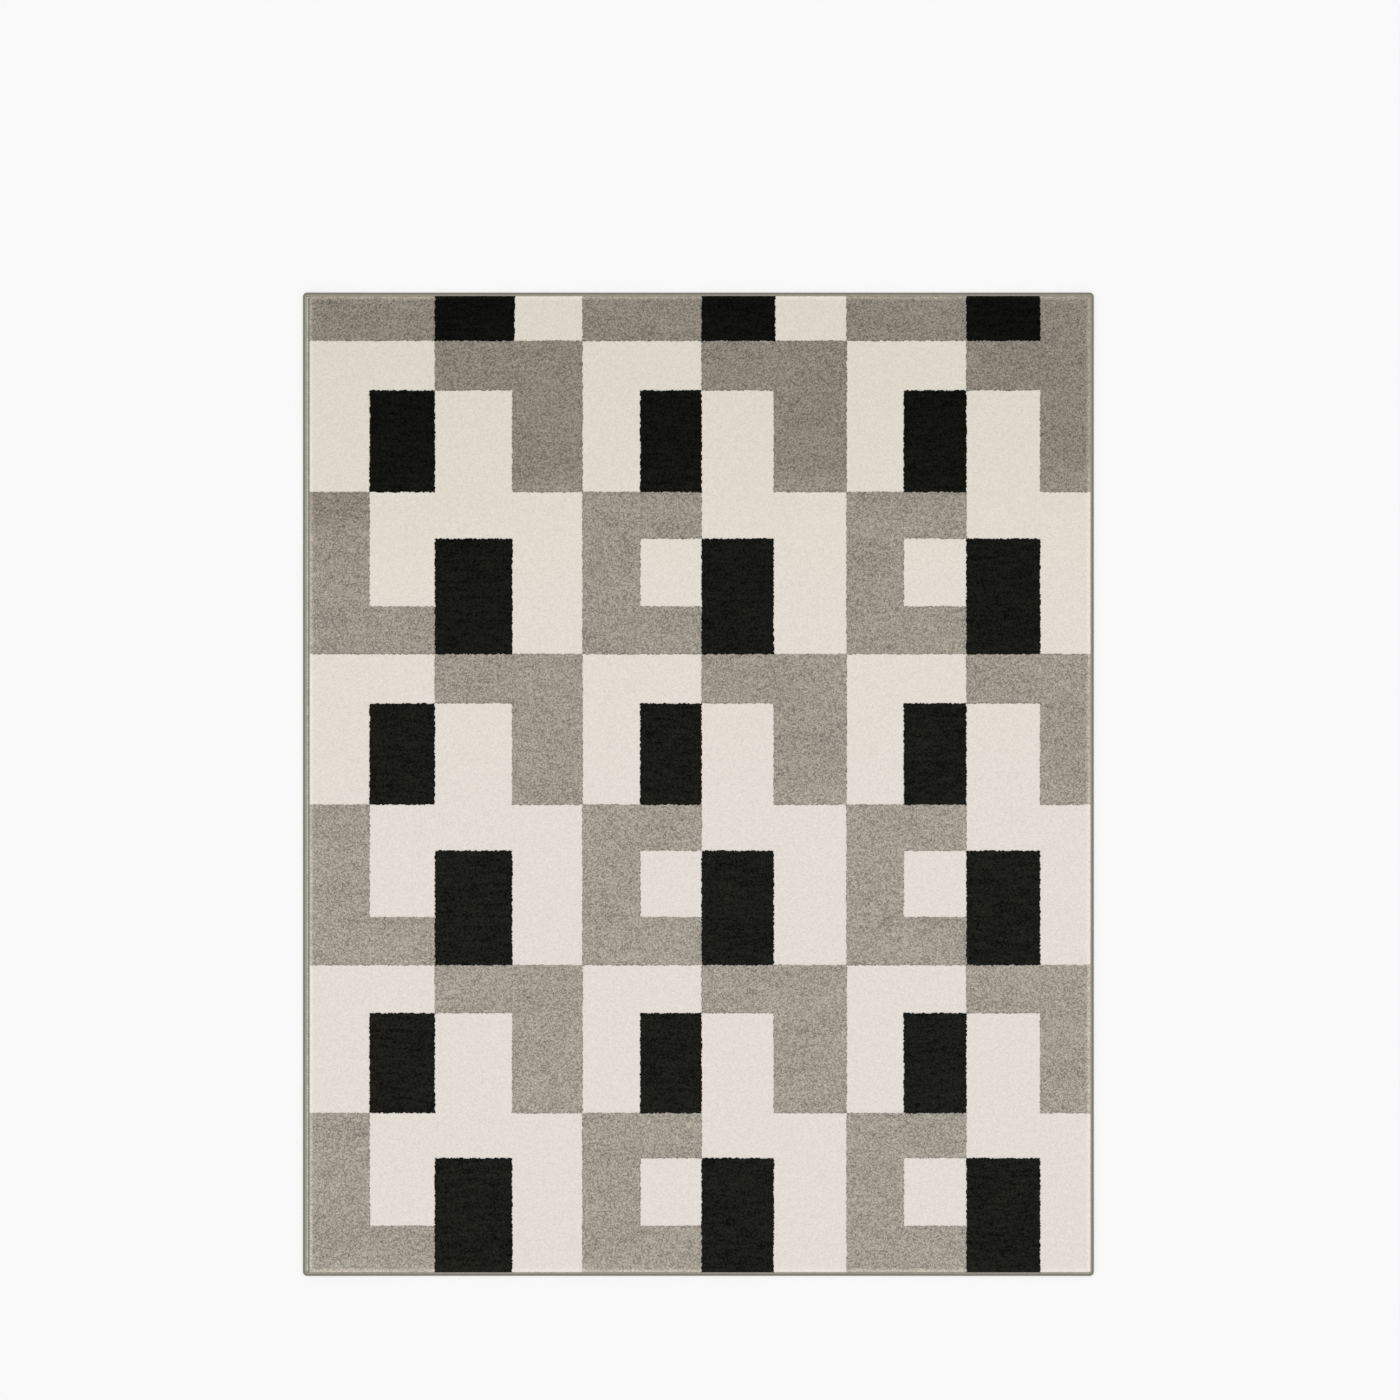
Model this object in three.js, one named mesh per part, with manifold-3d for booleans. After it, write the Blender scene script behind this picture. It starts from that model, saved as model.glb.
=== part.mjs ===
// Area rug: a power-loomed cut-pile rug with a three-colour block pattern.
//
// Millimetres, +Z up. The origin is on the floor under the middle of the rug, +X runs across it
// and +Y along it, towards the edge that the extra row of the pattern is woven at.
//
// From the floor up the rug is a latex coat, the ground weave that the pile yarns are tied into,
// a thin bed of buried cream yarn, and the cut pile in three colours. A serged yarn edge grips the
// weave all the way round, and one long side also keeps a bare woven selvedge with a stitch row.

import * as THREE from 'three';
import { mergeVertices } from 'three/addons/utils/BufferGeometryUtils.js';
import Module from 'manifold-3d';

const wasm = await Module();
wasm.setup();

// ---- Overall size ----
const rugWidth = 2413; // over the serging, 7 ft 11 in
const rugLength = 3000; // over the serging, a little over 9 ft 10 in
const clearance = 0.3; // left wherever two pieces lie against each other

// ---- Layers, from the floor up ----
const coatThickness = 0.6; // and of the serging yarn below the weave, so that both lie on the floor
const weaveThickness = 2.4;
const yarnBedThickness = 1.6; // cream yarn that runs hidden under every colour
const pileHeight = 6.8; // cut pile that stands above the yarn bed
const pileCornerRadius = 3; // least radius that a block's corner tufts stand in

// ---- Serged edge ----
const sergingWidth = 11;
const sergingOverlay = 3.2; // yarn above the weave
const sergingNose = 3; // yarn outside the weave's cut edge
const innerCornerRadius = 2;
const cornerSegments = 24; // in a full turn of the corner ring

// ---- Bare selvedge, on the left long side only ----
const selvedgeWidth = 9;
const selvedgeThickness = 1.4;
const stitchInset = 5.9; // from the band's outer edge to the middle of the stitch row
const stitchWidth = 2.4;
const stitchHeight = 0.9;

// ---- Pattern, as woven at the standard size; it stretches to fill the pile face ----
// Columns run left to right and rows top to bottom. The first row is woven once, and the five
// rows after it make one repeat. A loom never beats every repeat up quite alike, so each repeat
// has its own row lengths.
const columnWidths = [184, 199, 236, 214, 176, 187, 220, 222, 174, 191, 225, 153];
const openingRowLength = 137;
// The opening row's black yarn spreads to the right, past the end of its column. Each entry is the
// number of the line it passes and how far.
const openingRowSpread = new Map([[3, 7.5], [7, 4.5]]);
const repeatRowLengths = [
  [151, 310, 142, 207, 145],
  [150, 309, 140, 203, 146],
  [146, 305, 137, 207, 142],
];
const openingRow = 'GGBCGGBCGGBG';
const repeatRows = [
  'CCGGCCGGCCGG',
  'CBCGCBCGCBCG',
  'GCCCGGCCGGCC',
  'GCBCGCBCGCBC',
  'GGBCGGBCGGBC',
];

// ---- Finishes ----
const finishes = {
  creamPile: { color: 0xe1dace, roughness: 0.92 },
  greyPile: { color: 0x9a9388, roughness: 0.95 },
  blackPile: { color: 0x1a1a16, roughness: 0.9 },
  sergingYarn: { color: 0x858276, roughness: 0.85 },
  selvedgeCloth: { color: 0xa5a296, roughness: 0.9 },
  stitchThread: { color: 0x6f6b62, roughness: 0.8 },
  groundWeave: { color: 0xb09a76, roughness: 0.95 },
  latexCoat: { color: 0xcfc7b2, roughness: 0.7 },
};

// ---- Heights and edges that follow from those sizes ----
const weaveBottom = coatThickness + clearance;
const weaveTop = weaveBottom + weaveThickness;
const pileFoot = weaveTop + clearance;
const bedTop = pileFoot + yarnBedThickness;
const pileTop = bedTop + pileHeight;
const sergingTop = pileFoot + sergingOverlay;
const outerCornerRadius = innerCornerRadius + sergingWidth;
const blockCornerRadius = Math.max(pileCornerRadius, innerCornerRadius);

const rightEdge = rugWidth / 2;
const topEdge = rugLength / 2;
const innerRight = rightEdge - sergingWidth - clearance;
const innerTop = topEdge - sergingWidth - clearance;

const face = {
  left: -innerRight + selvedgeWidth,
  right: innerRight,
  bottom: -innerTop,
  top: innerTop,
};

const rug = new THREE.Group();
rug.name = 'area_rug';

function addMesh(name, geometry, finish) {
  const material = new THREE.MeshStandardMaterial({ ...finishes[finish], metalness: 0 });
  const mesh = new THREE.Mesh(geometry, material);
  mesh.name = name;
  rug.add(mesh);
  return mesh;
}

// ---- Solids ----

function toSolid(geometry) {
  const bare = geometry.clone();
  bare.deleteAttribute('normal');
  bare.deleteAttribute('uv');
  const merged = mergeVertices(bare, 1e-4);
  return new wasm.Manifold(new wasm.Mesh({
    numProp: 3,
    vertProperties: new Float32Array(merged.attributes.position.array),
    triVerts: new Uint32Array(merged.index.array),
  }));
}

function toGeometry(solid) {
  const mesh = solid.getMesh();
  const geometry = new THREE.BufferGeometry();
  geometry.setAttribute('position', new THREE.BufferAttribute(mesh.vertProperties, 3));
  geometry.setIndex(new THREE.BufferAttribute(mesh.triVerts, 1));
  geometry.computeVertexNormals();
  return geometry;
}

// A flat sheet of the given outline, from height `from` to height `to`.
function sheet(shape, from, to) {
  const geometry = new THREE.ExtrudeGeometry(shape, {
    depth: to - from,
    bevelEnabled: false,
    curveSegments: 3,
  });
  geometry.translate(0, 0, from);
  return geometry;
}

// A rectangle with rounded corners.
function roundedRectangle({ left, right, bottom, top }, radius) {
  const shape = new THREE.Shape();
  const quarter = Math.PI / 2;
  shape.absarc(right - radius, top - radius, radius, 0, quarter);
  shape.absarc(left + radius, top - radius, radius, quarter, 2 * quarter);
  shape.absarc(left + radius, bottom + radius, radius, 2 * quarter, 3 * quarter);
  shape.absarc(right - radius, bottom + radius, radius, 3 * quarter, 4 * quarter);
  shape.closePath();
  return shape;
}

// The same, centred on the rug.
function centredRectangle(halfWidth, halfLength, radius) {
  const edges = { left: -halfWidth, right: halfWidth, bottom: -halfLength, top: halfLength };
  return roundedRectangle(edges, radius);
}

// ---- Backing and ground weave ----

function addBacking() {
  const coat = centredRectangle(innerRight, innerTop, innerCornerRadius);
  addMesh('latex_back_coat', sheet(coat, 0, coatThickness), 'latexCoat');

  const margin = sergingNose + clearance;
  const weave = centredRectangle(rightEdge - margin, topEdge - margin, outerCornerRadius - margin);
  addMesh('ground_weave', sheet(weave, weaveBottom, weaveTop), 'groundWeave');
}

// ---- Serged edge: a yarn wrap in a C, open towards the rug, that grips the weave ----

// The section's points as [distance in from the rug's outer edge, height].
function sergingSection() {
  const slotBottom = weaveBottom - clearance;
  const slotTop = weaveTop + clearance;
  const shoulder = sergingNose * 0.9;
  return [
    [sergingWidth, 0],
    [shoulder, 0],
    [shoulder * 0.3, sergingTop * 0.1],
    [0, sergingTop * 0.32],
    [0, sergingTop * 0.6],
    [shoulder * 0.3, sergingTop * 0.88],
    [shoulder, sergingTop],
    [sergingWidth - shoulder, sergingTop],
    [sergingWidth, sergingTop - sergingOverlay * 0.4],
    [sergingWidth, slotTop],
    [sergingNose, slotTop],
    [sergingNose, slotBottom],
    [sergingWidth, slotBottom],
  ];
}

// A straight length that runs along +Y with its outer edge at x = 0 and its body at x < 0.
function sergingLength(length) {
  const points = sergingSection().map(([inward, height]) => new THREE.Vector2(-inward, height));
  const geometry = new THREE.ExtrudeGeometry(new THREE.Shape(points), {
    depth: length,
    bevelEnabled: false,
  });
  geometry.rotateX(Math.PI / 2);
  geometry.translate(0, length / 2, 0);
  return geometry;
}

// A quarter of a ring turned from the same section, for the corner at +X and +Y.
function sergingCorner() {
  const points = sergingSection().map(
    ([inward, height]) => new THREE.Vector2(outerCornerRadius - inward, height),
  );
  points.push(points[0].clone());
  const ring = new THREE.LatheGeometry(points, cornerSegments);
  ring.rotateX(Math.PI / 2);

  const reach = outerCornerRadius * 2;
  const quarter = new THREE.BoxGeometry(reach, reach, reach);
  quarter.translate(reach / 2, reach / 2, 0);
  return toGeometry(toSolid(ring).intersect(toSolid(quarter)));
}

function addSerging() {
  const cornerX = rightEdge - outerCornerRadius;
  const cornerY = topEdge - outerCornerRadius;
  const alongLength = 2 * (cornerY - clearance);
  const alongWidth = 2 * (cornerX - clearance);
  const sides = [
    ['right', alongLength, rightEdge, 0, 0],
    ['top', alongWidth, 0, topEdge, 1],
    ['left', alongLength, -rightEdge, 0, 2],
    ['bottom', alongWidth, 0, -topEdge, 3],
  ];
  for (const [side, length, x, y, quarterTurns] of sides) {
    const mesh = addMesh(`serging_${side}_side`, sergingLength(length), 'sergingYarn');
    mesh.position.set(x, y, 0);
    mesh.rotation.z = quarterTurns * Math.PI / 2;
  }

  const corners = [
    ['top_right', cornerX, cornerY, 0],
    ['top_left', -cornerX, cornerY, 1],
    ['bottom_left', -cornerX, -cornerY, 2],
    ['bottom_right', cornerX, -cornerY, 3],
  ];
  for (const [corner, x, y, quarterTurns] of corners) {
    const mesh = addMesh(`serging_${corner}_corner`, sergingCorner(), 'sergingYarn');
    mesh.position.set(x, y, 0);
    mesh.rotation.z = quarterTurns * Math.PI / 2;
  }
}

// ---- Bare selvedge between the left serging and the pile, with its row of stitches ----

function addSelvedge() {
  const width = selvedgeWidth - clearance;
  const middle = -innerRight + width / 2;
  const length = 2 * (innerTop - innerCornerRadius);
  const band = new THREE.BoxGeometry(width, length, selvedgeThickness);
  band.translate(middle, 0, pileFoot + selvedgeThickness / 2);
  addMesh('selvedge_band', band, 'selvedgeCloth');

  const stitchMiddle = -innerRight + stitchInset;
  const stitchFoot = pileFoot + selvedgeThickness + clearance;
  const stitches = new THREE.BoxGeometry(stitchWidth, length, stitchHeight);
  stitches.translate(stitchMiddle, 0, stitchFoot + stitchHeight / 2);
  addMesh('selvedge_stitch_row', stitches, 'stitchThread');
}

// ---- Pattern ----

// Where a list of widths puts its lines, stretched to run from `start` to `end`.
function linesBetween(widths, start, end) {
  const total = widths.reduce((sum, width) => sum + width, 0);
  const lines = [start];
  let reached = 0;
  for (const width of widths) {
    reached += width;
    lines.push(start + (end - start) * reached / total);
  }
  return lines;
}

function layPattern() {
  const rows = [openingRow];
  const rowLengths = [openingRowLength];
  for (const lengths of repeatRowLengths) {
    rows.push(...repeatRows);
    rowLengths.push(...lengths);
  }
  return {
    rows,
    xLines: linesBetween(columnWidths, face.left, face.right),
    yLines: linesBetween(rowLengths, face.top, face.bottom),
  };
}

// The cells that join up, edge to edge, with cell (row, column) in the same colour.
function floodRegion(rows, row, column, seen) {
  const colour = rows[row][column];
  const cells = [];
  const waiting = [[row, column]];
  while (waiting.length > 0) {
    const [r, c] = waiting.pop();
    if (rows[r]?.[c] !== colour || seen.has(`${r},${c}`)) {
      continue;
    }
    seen.add(`${r},${c}`);
    cells.push([r, c]);
    waiting.push([r + 1, c], [r - 1, c], [r, c + 1], [r, c - 1]);
  }
  return { colour, row, column, cells };
}

function findRegions(rows) {
  const seen = new Set();
  const regions = [];
  rows.forEach((cells, row) => {
    for (let column = 0; column < cells.length; column += 1) {
      if (!seen.has(`${row},${column}`)) {
        regions.push(floodRegion(rows, row, column, seen));
      }
    }
  });
  return regions;
}

// The corners of a region, anticlockwise seen from above, as [line across, line along] numbers.
function traceCorners(cells) {
  const inside = new Set(cells.map(([r, c]) => `${r},${c}`));
  const next = new Map();
  const border = (r, c, from, to) => {
    if (!inside.has(`${r},${c}`)) {
      next.set(from.join(), to);
    }
  };
  for (const [r, c] of cells) {
    border(r + 1, c, [c, r + 1], [c + 1, r + 1]);
    border(r, c + 1, [c + 1, r + 1], [c + 1, r]);
    border(r - 1, c, [c + 1, r], [c, r]);
    border(r, c - 1, [c, r], [c, r + 1]);
  }
  const walk = [];
  let here = next.values().next().value;
  for (let i = 0; i < next.size; i += 1) {
    walk.push(here);
    here = next.get(here.join());
  }
  return walk.filter(([x, y], i) => {
    const [x0, y0] = walk.at(i - 1);
    const [x1, y1] = walk[(i + 1) % walk.length];
    return (x0 === x) !== (x1 === x) || (y0 === y) !== (y1 === y);
  });
}

// Where a corner of a region stands. In the opening row some lines across are moved by the spread.
function placeCorner(region, [x, y], { xLines, yLines }) {
  const isOpening = y <= 1 && region.cells.some(([r, c]) => r === 0 && (c === x || c === x - 1));
  const spread = isOpening ? openingRowSpread.get(x) ?? 0 : 0;
  return new THREE.Vector2(xLines[x] + spread, yLines[y]);
}

// The region's outline, drawn in by half the clearance and rounded at its outward corners.
function regionShape(region, pattern) {
  const corners = traceCorners(region.cells).map((corner) => placeCorner(region, corner, pattern));
  const shape = new THREE.Shape();
  corners.forEach((corner, i) => {
    const before = corner.clone().sub(corners.at(i - 1)).normalize();
    const after = corners[(i + 1) % corners.length].clone().sub(corner).normalize();
    const inward = new THREE.Vector2(-before.y - after.y, before.x + after.x);
    const point = corner.clone().addScaledVector(inward, clearance / 2);
    const isOutward = before.cross(after) > 0;
    const radius = isOutward ? blockCornerRadius : 0;
    const start = point.clone().addScaledVector(before, -radius);
    const end = point.clone().addScaledVector(after, radius);
    if (i === 0) {
      shape.moveTo(start.x, start.y);
    } else {
      shape.lineTo(start.x, start.y);
    }
    if (isOutward) {
      shape.quadraticCurveTo(point.x, point.y, end.x, end.y);
    }
  });
  shape.closePath();
  return shape;
}

// ---- Pile ----

// Cream is one body: the yarn bed under the whole face, with every cream block standing on it.
function addCreamPile(regions, pattern) {
  const bed = sheet(roundedRectangle(face, blockCornerRadius), pileFoot, bedTop);
  const blockRoot = pileFoot + yarnBedThickness / 2;
  let cream = toSolid(bed);
  for (const region of regions) {
    const block = sheet(regionShape(region, pattern), blockRoot, pileTop);
    cream = cream.add(toSolid(block));
  }
  addMesh('cream_pile', toGeometry(cream), 'creamPile');
}

function addColouredPile(regions, pattern, colourName, finish) {
  for (const region of regions) {
    const block = sheet(regionShape(region, pattern), bedTop + clearance, pileTop);
    const place = `row${region.row + 1}_col${region.column + 1}`;
    addMesh(`${colourName}_pile_${place}`, block, finish);
  }
}

function addPile() {
  const pattern = layPattern();
  const regions = findRegions(pattern.rows);
  const ofColour = (letter) => regions.filter((region) => region.colour === letter);
  addCreamPile(ofColour('C'), pattern);
  addColouredPile(ofColour('G'), pattern, 'grey', 'greyPile');
  addColouredPile(ofColour('B'), pattern, 'black', 'blackPile');
}

addBacking();
addSerging();
addSelvedge();
addPile();

export default rug;
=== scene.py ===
# %% [markdown]
# # A power-loomed area rug
#
# This rug is a flat textile, about 2.4 by 3.0 metres and 12 mm thick. It is woven, not printed:
# three colours of pile yarn are tied into a coarse ground weave and cut to one height, the back is
# sized with latex, and the cut edge is wrapped all round with serging yarn. The frame holds the
# plain solids of those pieces. Each one is measured here and rebuilt with its real surface.

# %% Load the frame
import math

import bpy
import numpy as np
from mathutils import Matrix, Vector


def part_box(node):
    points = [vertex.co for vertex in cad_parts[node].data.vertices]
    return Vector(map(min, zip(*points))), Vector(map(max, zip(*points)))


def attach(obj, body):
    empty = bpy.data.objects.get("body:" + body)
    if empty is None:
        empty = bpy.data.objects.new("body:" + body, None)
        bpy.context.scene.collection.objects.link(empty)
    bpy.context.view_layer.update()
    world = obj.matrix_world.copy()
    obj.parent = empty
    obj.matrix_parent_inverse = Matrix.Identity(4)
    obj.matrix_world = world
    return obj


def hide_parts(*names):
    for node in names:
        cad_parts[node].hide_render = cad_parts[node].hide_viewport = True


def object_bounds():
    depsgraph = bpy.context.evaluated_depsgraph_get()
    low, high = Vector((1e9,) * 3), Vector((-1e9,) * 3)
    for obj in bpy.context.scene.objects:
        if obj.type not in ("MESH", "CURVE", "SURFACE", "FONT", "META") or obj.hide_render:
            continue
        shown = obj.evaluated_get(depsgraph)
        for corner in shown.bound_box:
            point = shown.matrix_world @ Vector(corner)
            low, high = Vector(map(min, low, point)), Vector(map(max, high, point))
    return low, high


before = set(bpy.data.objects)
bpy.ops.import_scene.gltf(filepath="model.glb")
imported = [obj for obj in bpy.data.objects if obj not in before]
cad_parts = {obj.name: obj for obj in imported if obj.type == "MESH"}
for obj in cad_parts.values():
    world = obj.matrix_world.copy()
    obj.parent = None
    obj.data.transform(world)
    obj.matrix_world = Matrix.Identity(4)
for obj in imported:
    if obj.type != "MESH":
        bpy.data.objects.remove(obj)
cad_low, cad_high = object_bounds()
MM = 0.001
rug_width, rug_length, rug_height = cad_high - cad_low
print(f"frame: {rug_width:.3f} x {rug_length:.3f} m, {rug_height / MM:.1f} mm thick")

# %% [markdown]
# ## Helpers
#
# A fabric's colours are easiest to name as sRGB hex, but a shader works in linear light, so one
# function turns the one into the other. A second adds a shader node, sets its options, and fills or
# links its inputs. A third gives smooth random values over the rug, from a fixed seed, so that
# every run and every piece sees the same ones.

# %% Colour, shader nodes and smooth random values
def linear(hex_colour):
    """An sRGB hex colour as linear red, green, blue and a full alpha."""
    channels = [int(hex_colour[i:i + 2], 16) / 255 for i in (1, 3, 5)]
    return [c / 12.92 if c <= 0.04045 else ((c + 0.055) / 1.055) ** 2.4 for c in channels] + [1.0]


def add_node(tree, kind, inputs, **options):
    """Adds one shader node. A value fills its input and a socket is linked to it."""
    node = tree.nodes.new("ShaderNode" + kind)
    for option, value in options.items():
        setattr(node, option, value)
    for name, value in inputs.items():
        if isinstance(value, bpy.types.NodeSocket):
            tree.links.new(value, node.inputs[name])
        else:
            node.inputs[name].default_value = value
    return node


def smooth_random(x, y, cell, seed):
    """Random values from -1 to 1 at points x, y, in metres, that change over about one cell."""
    across = int(rug_width / cell) + 6
    along = int(rug_length / cell) + 6
    table = np.random.RandomState(seed).uniform(-1, 1, (across, along))
    u = (np.asarray(x) + rug_width / 2) / cell + 2
    v = (np.asarray(y) + rug_length / 2) / cell + 2
    i, j = np.floor(u).astype(int), np.floor(v).astype(int)
    fu, fv = u - i, v - j
    fu, fv = fu * fu * (3 - 2 * fu), fv * fv * (3 - 2 * fv)
    near = table[i, j] * (1 - fu) + table[i + 1, j] * fu
    far = table[i, j + 1] * (1 - fu) + table[i + 1, j + 1] * fu
    return near * (1 - fv) + far * fv


print("cream as linear light:", [round(c, 3) for c in linear("#DED7CF")])

# %% [markdown]
# ## How the rug lies
#
# A rug that has been unrolled lies almost flat, but never quite: it keeps slow waves of about a
# millimetre, and its corners lift a little. Every piece is lifted by the same function of its place,
# so the layers stay as far apart as the frame has them.

# %% The lift of the rug off the floor, shared by every piece
WAVE_HEIGHT = 0.8 * MM
CORNER_LIFT = 1.2 * MM


def lift(x, y):
    """Height that the rug's slow waves add at x, y. It is never below the floor."""
    waves = 0.5 + 0.35 * smooth_random(x, y, 0.45, 11) + 0.15 * smooth_random(x, y, 0.17, 12)
    corner = np.abs(x) / (rug_width / 2) * np.abs(y) / (rug_length / 2)
    return WAVE_HEIGHT * waves + CORNER_LIFT * corner ** 6


def new_mesh(name, points, faces, smooth, uv=None):
    """A mesh object from points and faces, lifted as the rug lies, that rides on the root body."""
    points = np.array(points, float)
    points[:, 2] += lift(points[:, 0], points[:, 1])
    mesh = bpy.data.meshes.new(name)
    mesh.from_pydata(points.tolist(), [], faces)
    mesh.polygons.foreach_set("use_smooth", smooth)
    if uv is not None:
        layer = mesh.uv_layers.new(name="OFBake")
        layer.data.foreach_set("uv", np.asarray(uv, np.float32).ravel())
    mesh.update()
    piece = bpy.data.objects.new(name, mesh)
    bpy.context.scene.collection.objects.link(piece)
    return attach(piece, "root")


def name_field(piece, name, values):
    """Stores one value for each point of a piece, which its material can read by name."""
    field = piece.data.attributes.new(name, "FLOAT", "POINT")
    field.data.foreach_set("value", np.asarray(values, np.float32))


def finish_piece(piece, material, slot, *nodes):
    """Gives a piece its material and hides the solids of the frame that it stands for."""
    piece.data.materials.append(material)
    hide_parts(*nodes)
    return piece


print(f"the rug lifts {lift(0.0, 0.0) / MM:.1f} mm in the middle, "
      f"{lift(rug_width / 2, rug_length / 2) / MM:.1f} mm at a corner")

# %% [markdown]
# ## Pile yarn: heat-set polypropylene, cut
#
# A cut pile shows the ends of its yarns, so it has no gloss. Each tuft takes the dye and the light a
# little differently, which the eye reads as a fine grain. Cream and black are spun from fibres of one
# colour and their grain is faint. The grey is a melange of light and dark fibres, so its grain is
# many times stronger, and it is what makes the grey look alive beside the flat cream.
#
# The grain is a Voronoi pattern with one random tone per tuft. Its cells are frayed by a fine noise,
# so that they look like bunches of fibre ends and not like tiles, they get painted shade in the gaps
# between them, and they are drawn out upwards, because the yarns stand on end and the sides of the pile
# show them lengthwise. The painted gap shade is faint in the cream, where light passes through the
# fibres, and deeper in the dark yarns. The tufts are 3.6 mm across, rather more than one yarn, because
# single ones are too fine to show. Over that lie faint streaks across the rug, along the rows of tufts,
# and slow patches where feet and rolling up have left the pile leaning more or less.
#
# The pile is painted darker and browner towards the far end and a little towards the far left corner:
# painted shade, standing in for light that falls off across the rug.

# %% Pile materials
TUFT = 3.6 * MM
FIBRE = 0.9 * MM
FRAY = 2.4 * MM
STREAK_LENGTH, STREAK_WIDTH = 60 * MM, 12 * MM
PATCH_LENGTH, PATCH_WIDTH = 300 * MM, 90 * MM
# Extra painted shade towards the far left corner.
LEFT_SHADE = 0.04


def painted_shade_share(tree, place):
    """Share of painted shade: 0 at the near end of the rug and 1 at the far end, a little more to the
    left.
    """
    axes = add_node(tree, "SeparateXYZ", {"Vector": place})
    left = add_node(tree, "MapRange", {"Value": axes.outputs["X"], "From Min": -0.1 * rug_width,
                                       "From Max": -0.5 * rug_width, "To Max": LEFT_SHADE})
    along = add_node(tree, "Math", {0: axes.outputs["Y"], 1: 1 / rug_length, 2: 0.5},
                     operation="MULTIPLY_ADD")
    return add_node(tree, "Math", {0: along.outputs[0], 1: left.outputs["Result"]},
                    operation="ADD").outputs[0]


def stretched_noise(tree, place, length, width):
    """Noise drawn out across the rug, of the given size."""
    stretched = add_node(tree, "Mapping", {"Vector": place, "Scale": (1 / length, 1 / width, 1.0)})
    return add_node(tree, "TexNoise", {"Vector": stretched.outputs["Vector"], "Scale": 1.0,
                                       "Detail": 2.0}).outputs["Fac"]


def pile_material(name, shade_tones, grain, gap_shade, streak, patch, rim_highlight, gloss, sheen, roughness):
    """Cut pile, with colour stops that paint shade towards the far end and a painted highlight on the
    rim.
    """
    material = bpy.data.materials.new(name)
    material.use_nodes = True
    tree = material.node_tree
    shader = tree.nodes["Principled BSDF"]
    place = add_node(tree, "TexCoord", {}).outputs["Object"]

    upright = add_node(tree, "Mapping", {"Vector": place, "Scale": (1.0, 1.0, 0.2)}).outputs["Vector"]
    fibres = add_node(tree, "TexNoise", {"Vector": upright, "Scale": 1 / FIBRE, "Detail": 2.0})
    fray = add_node(tree, "VectorMath", {0: fibres.outputs["Color"], 1: (FRAY, FRAY, FRAY), 2: upright},
                    operation="MULTIPLY_ADD").outputs["Vector"]
    tufts = add_node(tree, "TexVoronoi", {"Vector": fray, "Scale": 1 / TUFT, "Randomness": 1.0})
    tone = add_node(tree, "SeparateColor", {"Color": tufts.outputs["Color"]}).outputs["Red"]
    # Painted shade: the tufts are darkened in the gaps between them.
    painted_gap_shade = add_node(tree, "MapRange", {"Value": tufts.outputs["Distance"], "From Min": 0.3,
                                       "From Max": 0.8}).outputs["Result"]
    # Painted highlight: the tufts at the rug's outer rim are made paler.
    rim = add_node(tree, "Attribute", {}, attribute_name="rim_highlight").outputs["Fac"]
    brightness = 1 - 0.5 * (1.5 * grain + streak + patch - gap_shade)
    for source, strength in ((tone, grain), (fibres.outputs["Fac"], 0.5 * grain), (painted_gap_shade, -gap_shade),
                             (stretched_noise(tree, place, STREAK_LENGTH, STREAK_WIDTH), streak),
                             (stretched_noise(tree, place, PATCH_LENGTH, PATCH_WIDTH), patch),
                             (rim, rim_highlight)):
        brightness = add_node(tree, "Math", {0: source, 1: strength, 2: brightness},
                              operation="MULTIPLY_ADD").outputs[0]
    brightness = add_node(tree, "Math", {0: brightness, 1: 0.2}, operation="MAXIMUM").outputs[0]

    # Painted shade: the pile's colour darkens towards the far end and the far left, standing in for
    # light that falls off across the rug.
    ramp = add_node(tree, "ValToRGB", {"Fac": painted_shade_share(tree, place)})
    stops = ramp.color_ramp.elements
    for stop, (lean, shaded_tone) in enumerate(shade_tones):
        if stop >= len(stops):
            stops.new(1.0)
        stops[stop].position = lean
        stops[stop].color = linear(shaded_tone)
    colour = add_node(tree, "VectorMath", {"Vector": ramp.outputs["Color"], "Scale": brightness},
                      operation="SCALE")

    relief = add_node(tree, "Math", {0: tufts.outputs["Distance"], 1: -1.0, 2: fibres.outputs["Fac"]},
                      operation="MULTIPLY_ADD").outputs[0]
    bump = add_node(tree, "Bump", {"Height": relief, "Strength": 0.6, "Distance": 0.8 * MM})
    tree.links.new(colour.outputs["Vector"], shader.inputs["Base Color"])
    tree.links.new(bump.outputs["Normal"], shader.inputs["Normal"])
    shader.inputs["Roughness"].default_value = roughness
    shader.inputs["IOR"].default_value = 1.49
    shader.inputs["Specular IOR Level"].default_value = gloss
    shader.inputs["Sheen Weight"].default_value = sheen
    shader.inputs["Sheen Roughness"].default_value = 0.5
    print(f"{name}: tufts {TUFT / MM:.1f} mm, grain {grain:.2f}")
    return material


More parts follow.
